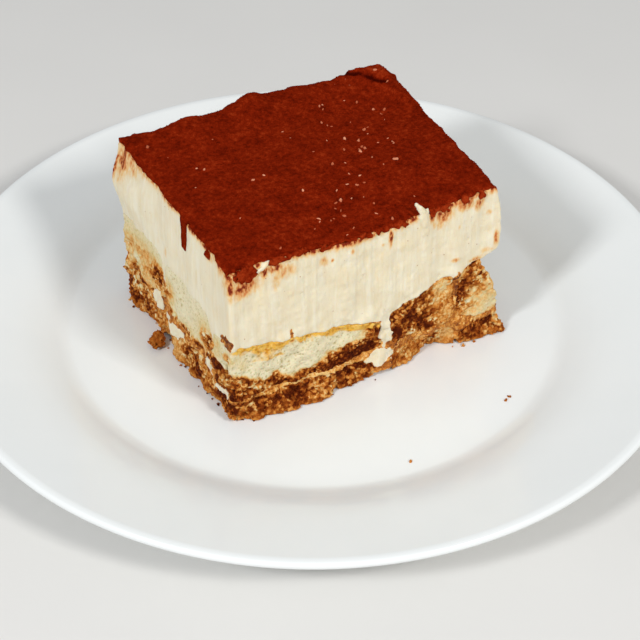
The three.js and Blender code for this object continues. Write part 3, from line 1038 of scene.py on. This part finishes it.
CLINGING = [  # cocoa that hangs over the top edge as a crust: a spot on a cut face and its reaches
    ((-36.3, -32, 56.7), (3.8, 3, 2.8)),
    ((-27.4, -32, 58.4), (2.6, 3, 1.3)),
    ((-20.0, -32, 58.0), (3.0, 3, 0.8)),
    ((-13.0, -32, 56.9), (1.6, 3, 0.9)),
    ((20.6, -32, 57.2), (1.5, 3, 1.9)),
    ((24.6, -32, 57.6), (2.4, 3, 1.6)),
    ((31.0, -32, 58.4), (2.6, 3, 1.2)),
    ((36.4, -32, 58.2), (2.4, 3, 1.3)),
    ((-45.6, 38.2, 51.0), (0.9, 0.9, 1.1)),
    ((-42, -20.0, 57.0), (3, 1.6, 1.4)),
]


def near_spot(points, spot, reach):
    """1 in the middle of a soft spot with those three reaches, and fading out round it."""
    parts = (points - np.array(spot, np.float32)) / np.array(reach, np.float32)
    return np.exp(-(parts**2).sum(1))


def smeared(points):
    """How much cocoa lies on the cut cream, from 0 to 1."""
    most = np.zeros(len(points), np.float32)
    for spot, reach, amount in SMEARS:
        most = np.maximum(most, amount * near_spot(points, spot, reach))
    x, y, z = points.T
    edge = (0.7 + 0.35 * lumps(points, 3.4, 25)) * np.exp(-np.maximum(top_height(x, y) - z - 0.4, 0) / 1.1)
    return np.maximum(most, edge) * ease(0.0, 0.9, outside_flakes(x, y, z))


def seeped(points):
    """How much coffee and crumb there is in the thick cream, from 0 to 1."""
    most = np.zeros(len(points), np.float32)
    for spot, reach in SEEPS:
        most = np.maximum(most, near_spot(points, spot, reach))
    return ease(0.30, 0.60, most + 0.24 * lumps(points, 1.5, 24) + 0.16 * lumps(points, 0.7, 29))


def stained(node, points):
    """How far coffee turned the cream brown: fully where it is thin, not at all in the clean pockets."""
    x, y, z = points.T
    gap = outside_fingers(x, y, z)
    right = ease(6, 12, x)  # coffee ran further out of the fingers laid crosswise
    reach = 0.5 + 0.5 * right
    wet = 0.3 + right * (0.55 + 0.6 * lumps(points, 2.2, 26))
    touching = wet * np.exp(-np.maximum(gap, 0) / reach)
    touching = touching * (1 - ease(24 + 10 * right, 30 + 8 * right, z))
    thin = 1 if node == "cream_middle" else (1 - ease(0.9, 2.2, gap)) * (1 - ease(26, 30, z))
    clean = ease(-0.4, 0.5, outside_eggs(CREAM_POCKETS, x, y, z) - pocket_seam(points))
    return np.maximum(np.maximum(thin, touching) * clean, seeped(points))


def mascarpone_look():
    look = Look(
        "mascarpone_cream",
        Subsurface_Weight=0.28,
        Subsurface_Radius=(1.0, 0.72, 0.42),
        Subsurface_Scale=0.0018,
        Specular_IOR_Level=0.16,
    )
    cloud = look.grain(8, 3)
    streak = look.grain(1.4, 3, (1, 1, 0.08), seed=2)
    colour = look.mix(cloud.step(0.32, 0.68), (0.735, 0.635, 0.445), (0.77, 0.69, 0.51))
    colour = look.mix(streak.step(0.42, 0.72) * 0.6, colour, (0.82, 0.765, 0.62))
    fat = look.grain(2.4, 3, (1, 1, 0.4), seed=6).step(0.56, 0.72) * 0.4
    colour = look.mix(fat, colour, (0.76, 0.61, 0.35))
    stain = look.attribute("stain")
    dark = look.attribute("dark") + (look.grain(0.6, 3, seed=14) - 0.5) * 0.5
    coffee = look.ramp(
        dark,
        (0.05, (0.80, 0.50, 0.19)),
        (0.22, (0.66, 0.28, 0.05)),
        (0.38, (0.42, 0.13, 0.014)),
        (0.66, (0.13, 0.026, 0.003)),
    )
    colour = look.mix((stain * 1.5 - look.grain(1.4, 3, seed=4)).step(0.0, 0.35), colour, coffee)
    smear = look.attribute("smear")
    amount = smear * ((look.grain(1.0, 4, (1, 1, 0.5), seed=9) - 0.5) * 2.6 + 1.0)
    colour = look.mix(amount.step(0.06, 0.46) * 0.8, colour, (0.74, 0.44, 0.15))
    colour = look.mix(amount.step(0.36, 0.74) * 0.9, colour, (0.56, 0.15, 0.025))
    dense = amount.step(0.68, 0.95)
    colour = look.mix(dense, colour, (0.20, 0.017, 0.003))
    speck = (1 - look.cells(2.1, seed=3).step(0.06, 0.12)) * look.grain(4.2, 1, seed=11).step(0.54, 0.60)
    colour = look.mix(speck * 0.75, colour, (0.34, 0.12, 0.03))
    gloss = 0.40 + look.grain(3, 3, seed=7) * 0.22 + dense * 0.35
    height = streak * 0.7 + look.grain(0.5, 3, seed=12) * 0.35 + dense * 0.5
    return look.finish(Base_Color=colour, Roughness=gloss, Normal=look.bump(height, 0.24))


CREAM_LOOK = mascarpone_look()

# For each cream its node, its foot and head, the distance between samples, and the finger whose soaked
# crumb shows through it where it lies thin. The head of the top one is the uneven top itself.
for node, foot, head, step, neighbour in (
    ("cream_top", SPLIT - TUCK, None, CREAM_STEP, "ladyfinger_upper_cross_inner"),
    ("cream_middle", CREAM_FOOT, SPLIT - GAP, SPONGE_STEP, "ladyfinger_lower_back"),
):
    grid = Grid(node, margin=2.0, step=step)
    cuts = grid.field(outside_cuts)
    if head is None:
        block = soft_most([cuts, grid.z - grid.field(lambda x, y, z: top_height(x, y))], 0.6)
        block = block + 0.35 * (1 - ease(foot, foot + 1.3, grid.z))
    else:
        block = cuts + 0.3 * ease(SPLIT - 2 * TUCK, SPLIT - TUCK, grid.z)
    block = grid.roughened(
        block, lambda rows: mixed(dragged(rows), crumb(neighbour, rows)[0], stained(node, rows)), reach=2
    )
    fingers = grid.field(outside_fingers)
    fingers = grid.roughened(fingers, seam, reach=2, where=cuts > -HIDDEN_DEPTH)
    fingers = np.maximum(fingers, -ragged_pockets(grid, cuts))
    field = np.maximum(np.maximum(block, foot - grid.z), -fingers - 0.12)
    if head is None:
        flakes = grid.field(outside_flakes)
        flakes = grid.roughened(flakes, lambda rows: 0.35 * lumps(rows, 1.2, 14), reach=1.5)
        field = -soft_most([-field, -flakes], 0.8)
    else:
        field = np.maximum(field, grid.z - head)
    cream = piece_from(node.replace("cream", "mascarpone"), *grid.skin(field), CREAM_LOOK)
    thin_out(cream, deep_inside(cream))
    points = places(cream)
    dark = 0.95 * crumb(neighbour, points)[1] - 0.03
    dark = dark - 0.22 * hump(points[:, 0], -13, 12) * (points[:, 1] < -24) * (points[:, 2] < 20)
    seep = seeped(points)
    dark = np.where(seep > 0, (0.10 + 1.1 * dark) * seep, dark)
    paint(cream, smear=smeared(points), stain=stained(node, points), dark=dark)
    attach(cream, "root")
    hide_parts(node)

# ------------------------------------------------------------------------------------------------
# Cocoa
# Unsweetened cocoa powder sieved over the chilled cream, dry and dull like velvet. It broke away
# along the cut edges, and the knife dragged one strip of it down the left face.
# ------------------------------------------------------------------------------------------------

COCOA_THICKNESS = 0.8
COCOA_STEP = 0.36
STREAK_Y = -5.4
STREAK_WIDTH = 3.4
STREAK_LENGTH = 9.8
# Spots on the top edge where the powder fell off and the cream shows: x, y and radius.
BARE_SPOTS = [
    (-40.0, -32.2, 1.5),
    (-38.0, -31.0, 0.7),
    (-43.2, -25, 1.0),
    (14.6, -31.4, 0.9),
    (28.4, -31.8, 0.8),
]
CRACK_DEPTH = 1.9  # how far behind the front edge a fine crack runs through the powder


def torn(points):
    """The ragged outline of the cocoa that hangs over the top edge."""
    return 0.75 * lumps(points, 1.5, 31) + 0.6 * lumps(points, 0.8, 32) - 0.3


def outside_streak(x, y, z):
    """The strip on the left face."""
    top = top_height(x, y) + GAP
    half = STREAK_WIDTH / 2 * (0.80 + 0.22 * ripple(z, 0, 3, 1) + 0.2 * ease(48, 57, z))
    sides = np.abs(y - STREAK_Y - 0.25 * ripple(z, 0, 4, 2)) - half
    ends = np.maximum(z - top, top - STREAK_LENGTH - z)
    return soft_most([sides, ends, np.abs(outside_cuts(x, y, z) - 0.2) - 0.45], 0.4)


def rim_of_top(x, y):
    """How far a point is outside the edge of the top."""
    return outside_cuts(x, y, np.full_like(x, TOP))


def fold_past(points):
    """How far a point is behind the uneven crease of the fold; far before it on the rest of the top."""
    x, y, _ = points.T
    return np.where(y > 12, past_crease(*plan_shares(x, y)) + 0.010 * lumps(points, 3.2, 7), -1)


def crease_share(y):
    """The crease is deepest halfway and fades out towards both of its ends."""
    return ease(20, 27, y) * (1 - 0.7 * ease(33, 37, y))


def powdered(points):
    """Loose powder: dunes, clots and grains, a ragged edge, a crack along it, and the fold's crease."""
    x, y, _ = points.T
    rim = rim_of_top(x, y)
    edge = ease(-2.8, 0.1, rim)
    front = ease(-24, -31, y)
    past = fold_past(points)
    crease = 0.25 * lumps(points, 2.6, 8) * ease(0, 0.02, past) - 0.45 * hump(past, -0.004, 0.009)
    crease = crease * crease_share(y)
    crack = hump(rim, -CRACK_DEPTH, 0.3) * hump(x, 3, 8) * front
    clot, chance = nearest(points, 1.3, 3)
    clots = np.maximum(0.42 * chance - clot, 0) * 0.5
    grains = 0.14 * lumps(points, 3.2, 1) + 0.09 * lumps(points, 1.1, 2) + clots
    ragged = (0.7 * lumps(points, 2.1, 4) + 0.6 * lumps(points, 1.0, 5) - 0.35) * edge
    return grains + ragged * np.where(x < -38, 0.35, 0.2 + 0.9 * front) + crease - 0.35 * crack


def powder_tone_and_crease_shade(points):
    """Where the powder is brighter because it broke open, lighter on the fold behind the crease, and darker
    in the crease of the fold, which is painted shade.
    """
    x, y, _ = points.T
    past = fold_past(points)
    broken = 0.5 * ease(-0.9, 0.3, rim_of_top(x, y)) * ease(-20, -30, y)
    # Painted shade along the crease of the fold.
    painted_crease_shade = hump(past, -0.003, 0.011) * crease_share(y) * (1 + 0.8 * lumps(points, 2.2, 9))
    return broken + 0.2 * ease(0.005, 0.03, past) - 1.3 * painted_crease_shade


def cocoa_look():
    look = Look("cocoa_powder", Specular_IOR_Level=0.0, Roughness=1.0)
    dune = look.grain(5.5, 3)
    clot = look.grain(1.3, 4, seed=3)
    dust = look.grain(0.45, 3, seed=5)
    tone = (dune - 0.5) * 0.55 + (clot - 0.5) * 0.85 + (dust - 0.5) * 0.6
    # This attribute lightens the broken powder and the fold, and darkens the crease with painted shade.
    tone = tone + look.attribute("fresh") * 0.42 + 0.5
    colour = look.ramp(
        tone,
        (0.05, (0.040, 0.0020, 0.0005)),
        (0.36, (0.131, 0.0074, 0.0012)),
        (0.58, (0.200, 0.0125, 0.0020)),
        (0.90, (0.330, 0.0360, 0.0070)),
    )
    height = clot * 0.5 + dust * 0.9
    return look.finish(Base_Color=colour, Normal=look.bump(height, 0.35))


COCOA_LOOK = cocoa_look()
grid = Grid("cocoa_skin", margin=1.6, step=COCOA_STEP)
plan = np.broadcast_arrays(grid.x, grid.y)
cream_height = top_height(*plan)
rim = rim_of_top(*plan)
sunk = 0.4 + 1.2 * ease(-0.4, -1.6, rim)  # how deep the powder lies in the soft cream
sheet = np.maximum(grid.z - cream_height - GAP - COCOA_THICKNESS, cream_height - sunk - grid.z)
field = grid.roughened(soft_most([sheet, rim - 0.05], 0.5), powdered, reach=3)
for spot_x, spot_y, radius in BARE_SPOTS:
    bare = radius - np.sqrt((grid.x - spot_x) ** 2 + (grid.y - spot_y) ** 2)
    field = np.maximum(field, bare)
field = -soft_most([-field, -grid.field(outside_streak)], 0.7)
cuts = grid.field(outside_cuts)
clinging = grid.roughened(grid.field(outside_eggs, CLINGING), torn)
crust = np.abs(cuts) - 0.4  # hugs the cut faces
crust = grid.roughened(crust, lambda rows: 0.35 * lumps(rows, 1.1, 33), reach=1.5, where=clinging < 1)
field = -soft_most([-field, -soft_most([clinging, crust], 0.3)], 0.5)
field = np.maximum(field, -(grid.field(outside_flakes) - 0.1))
cocoa = piece_from("cocoa_dusting", *grid.skin(field), COCOA_LOOK)
x, y, z = places(cocoa).T
buried = z < top_height(x, y) + GAP + 0.15
thin_out(cocoa, buried & deep_inside(cocoa))
# Stores the powder's tone and the painted shade in the fold's crease.
paint(cocoa, fresh=powder_tone_and_crease_shade(places(cocoa)))
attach(cocoa, "root")
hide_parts("cocoa_skin")

# ------------------------------------------------------------------------------------------------
# Crumbs, grains and the broken lump
# What fell off as the slice was cut and lifted: crumbs of soaked sponge round its foot, grains of
# cocoa clotted on the powder and thrown over the cut faces, and one lump of sponge on the plate.
# ------------------------------------------------------------------------------------------------

CHUNK_HALF = (2.9, 3.2, 2.0)
CHUNK_STEP = 0.25
CHUNK_SOURCE = "ladyfinger_lower_middle"  # the finger that it broke off

grid = Grid("sponge_chunk", margin=1.2, step=CHUNK_STEP)
field = grid.roughened(
    grid.field(outside_eggs, [(CHUNK_MIDDLE, CHUNK_HALF)]),
    lambda rows: crumb(CHUNK_SOURCE, rows)[0] + 0.6 * lumps(rows, 2.6, 8),
)
field = np.maximum(field, BLOCK_FOOT - grid.z)
chunk = piece_from("sponge_lump", *grid.skin(field), SPONGE_LOOK)
_, dark, hollow = crumb(CHUNK_SOURCE, places(chunk))
# The lump gets half the painted shade in its pores.
paint(chunk, dark=dark * 0.25 + 0.40, crust=0 * dark, hollow=hollow * 0.5)
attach(chunk, "root")
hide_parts("sponge_chunk")


def scatter_tree():
    """Geometry Nodes that strew grains from a collection over a surface, each turned and sized by chance."""
    tree = bpy.data.node_groups.new("strewn_grains", "GeometryNodeTree")
    sockets = {}
    for name, kind, direction in (
        ("Surface", "NodeSocketGeometry", "INPUT"),
        ("Grains", "NodeSocketCollection", "INPUT"),
        ("Grains per square metre", "NodeSocketFloat", "INPUT"),
        ("Smallest", "NodeSocketFloat", "INPUT"),
        ("Largest", "NodeSocketFloat", "INPUT"),
        ("Seed", "NodeSocketInt", "INPUT"),
        ("Look", "NodeSocketMaterial", "INPUT"),
        ("Strewn", "NodeSocketGeometry", "OUTPUT"),
    ):
        sockets[name] = tree.interface.new_socket(name, in_out=direction, socket_type=kind).identifier
    enter, leave = tree.nodes.new("NodeGroupInput"), tree.nodes.new("NodeGroupOutput")
    points = tree.nodes.new("GeometryNodeDistributePointsOnFaces")
    share = tree.nodes.new("GeometryNodeInputNamedAttribute")
    share.data_type = "FLOAT"
    share.inputs["Name"].default_value = "share"
    thick = tree.nodes.new("ShaderNodeMath")
    thick.operation = "MULTIPLY"
    info = tree.nodes.new("GeometryNodeCollectionInfo")
    info.inputs["Separate Children"].default_value = True
    info.inputs["Reset Children"].default_value = True
    turn = tree.nodes.new("FunctionNodeRandomValue")
    turn.data_type = "FLOAT_VECTOR"
    turn.inputs["Max"].default_value = (math.tau,) * 3
    scale = tree.nodes.new("FunctionNodeRandomValue")
    scale.data_type = "FLOAT"
    instance = tree.nodes.new("GeometryNodeInstanceOnPoints")
    instance.inputs["Pick Instance"].default_value = True
    realize = tree.nodes.new("GeometryNodeRealizeInstances")
    finish = tree.nodes.new("GeometryNodeSetMaterial")
    limits = [socket for socket in scale.inputs if socket.type == "VALUE" and socket.name in ("Min", "Max")]
    size = next(socket for socket in scale.outputs if socket.type == "VALUE")
    link = tree.links.new
    link(enter.outputs["Surface"], points.inputs["Mesh"])
    link(share.outputs["Attribute"], thick.inputs[0])
    link(enter.outputs["Grains per square metre"], thick.inputs[1])
    link(thick.outputs[0], points.inputs["Density"])
    link(enter.outputs["Seed"], points.inputs["Seed"])
    link(enter.outputs["Seed"], turn.inputs["Seed"])
    link(enter.outputs["Seed"], scale.inputs["Seed"])
    link(enter.outputs["Smallest"], limits[0])
    link(enter.outputs["Largest"], limits[1])
    link(enter.outputs["Grains"], info.inputs["Collection"])
    link(points.outputs["Points"], instance.inputs["Points"])
    link(info.outputs["Instances"], instance.inputs["Instance"])
    link(turn.outputs["Value"], instance.inputs["Rotation"])
    link(size, instance.inputs["Scale"])
    link(instance.outputs["Instances"], realize.inputs["Geometry"])
    link(realize.outputs["Geometry"], finish.inputs["Geometry"])
    link(enter.outputs["Look"], finish.inputs["Material"])
    link(finish.outputs["Geometry"], leave.inputs["Strewn"])
    return tree, sockets


SCATTER, SCATTER_INPUTS = scatter_tree()


def grain_shapes(name, count, subdivisions, roughness, thinnest=0.6):
    """A collection of lumpy grains about 1 m across, to be scaled down."""
    shapes = bpy.data.collections.new(name)
    rng = np.random.default_rng(count * 17 + subdivisions)
    for number in range(count):
        ball = bpy.data.meshes.new(f"{name}_{number}")
        shape = bmesh.new()
        bmesh.ops.create_icosphere(shape, subdivisions=subdivisions, radius=0.5)
        squash = rng.uniform(thinnest, 1.0, 3)
        offset = rng.uniform(0, 9, 3)
        for vertex in shape.verts:
            place = np.array(vertex.co)
            swell = 1 + roughness * float(lumps((place * 2.2 + offset)[None].astype(np.float32), 0.8)[0])
            vertex.co = place * swell * squash
        shape.to_mesh(ball)
        shape.free()
        shapes.objects.link(bpy.data.objects.new(f"{name}_{number}", ball))
    return shapes


def strew(name, surface, share, grains, look, density, sizes, seed):
    """A piece of grains, density times share of them on each square millimetre of a surface."""
    paint(surface, share=share)
    modifier = surface.modifiers.new("strew", "NODES")
    modifier.node_group = SCATTER
    for key, value in (
        ("Grains", grains),
        ("Grains per square metre", density * 1e6),
        ("Smallest", sizes[0] * MM),
        ("Largest", sizes[1] * MM),
        ("Seed", seed),
        ("Look", look),
    ):
        modifier[SCATTER_INPUTS[key]] = value
    surface.update_tag()
    evaluated = surface.evaluated_get(bpy.context.evaluated_depsgraph_get())
    mesh = bpy.data.meshes.new_from_object(evaluated)
    surface.modifiers.remove(modifier)
    mesh.name = name
    piece = put(name, mesh)
    for attributes in (surface.data.attributes, mesh.attributes):
        if "share" in attributes:
            attributes.remove(attributes["share"])
    mesh.polygons.foreach_set("use_smooth", np.ones(len(mesh.polygons), bool))
    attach(piece, "root")
    return piece


def level_sheet(name, xs, ys, height):
    """A level surface just above the plate, to strew crumbs on, and its points."""
    x, y = np.meshgrid(xs, ys, indexing="ij")
    points = np.stack([x, y, np.full_like(x, height)], -1).reshape(-1, 3)
    row, column = np.meshgrid(np.arange(len(xs) - 1), np.arange(len(ys) - 1), indexing="ij")
    a = row * len(ys) + column
    faces = np.stack([a, a + len(ys), a + len(ys) + 1, a + 1], -1).reshape(-1, 4)
    return piece_from(name, points, faces, SPONGE_LOOK), points


CRUMB_SHAPES = grain_shapes("crumb_shapes", count=6, subdivisions=3, roughness=0.9)
GRAIN_SHAPES = grain_shapes("grain_shapes", count=4, subdivisions=1, roughness=0.4)

# Crumbs of sponge round the foot, thickest close to the slice, and a few that strayed: x and y.
STRAYED = [(31.7, -59.2), (2.8, -57.6), (-5.0, -68.0), (61.0, -36.0)]
ground, points = level_sheet("ground", np.arange(-66, 66, 1.0), np.arange(-70, 56, 1.0), WELL_Z + 0.2)
x, y, _ = points.T
away = outside_cuts(x, y, np.full_like(x, BLOCK_FOOT + 0.3))
share = np.where(away > -0.4, np.exp(-np.maximum(away, 0) / 0.25) + 0.0002 * np.exp(-away / 20), 0)
for spot_x, spot_y in STRAYED:
    share = share + 2.0 * hump(x, spot_x, 0.7) * hump(y, spot_y, 0.7)
crumbs = strew(
    "sponge_crumbs", ground, share, CRUMB_SHAPES, SPONGE_LOOK, density=0.3, sizes=(0.35, 1.1), seed=3
)
points = places(crumbs)
chance = nearest(points, 3, 12)[1]
paint(crumbs, dark=0.30 + 0.5 * chance + 0.15 * lumps(points, 0.8, 3), crust=0 * chance, hollow=0 * chance)
bpy.data.objects.remove(ground)

# Clots of powder on the dusting, and those that slid over its broken edge.
x, y, z = places(cocoa).T
edge = ease(-2.5, -0.2, rim_of_top(x, y))
above = z > top_height(x, y) + 0.3
share = (0.12 + 2.2 * edge) * above
clots = strew(
    "cocoa_clots", cocoa, share, GRAIN_SHAPES, COCOA_LOOK, density=0.5, sizes=(0.22, 0.60), seed=5
)

# Flakes of dry sponge on the powder, most of them in a band that runs slantwise across the top.
BAND_HALF = 13
FLAKE_SHAPES = grain_shapes("flake_shapes", count=5, subdivisions=2, roughness=0.6, thinnest=0.25)


def pale_flake_look():
    look = Look("dry_sponge_flake", Roughness=0.8, Specular_IOR_Level=0.1)
    colour = look.mix(look.grain(6, 1).step(0.4, 0.62), (0.46, 0.11, 0.045), (0.72, 0.30, 0.17))
    return look.finish(Base_Color=colour)


band = 0.12 + hump(x - 0.55 * y, 14, BAND_HALF)
share = above * (edge < 0.1) * band
specks = strew(
    "pale_specks", cocoa, share, FLAKE_SHAPES, pale_flake_look(), density=0.038, sizes=(0.55, 1.6), seed=8
)
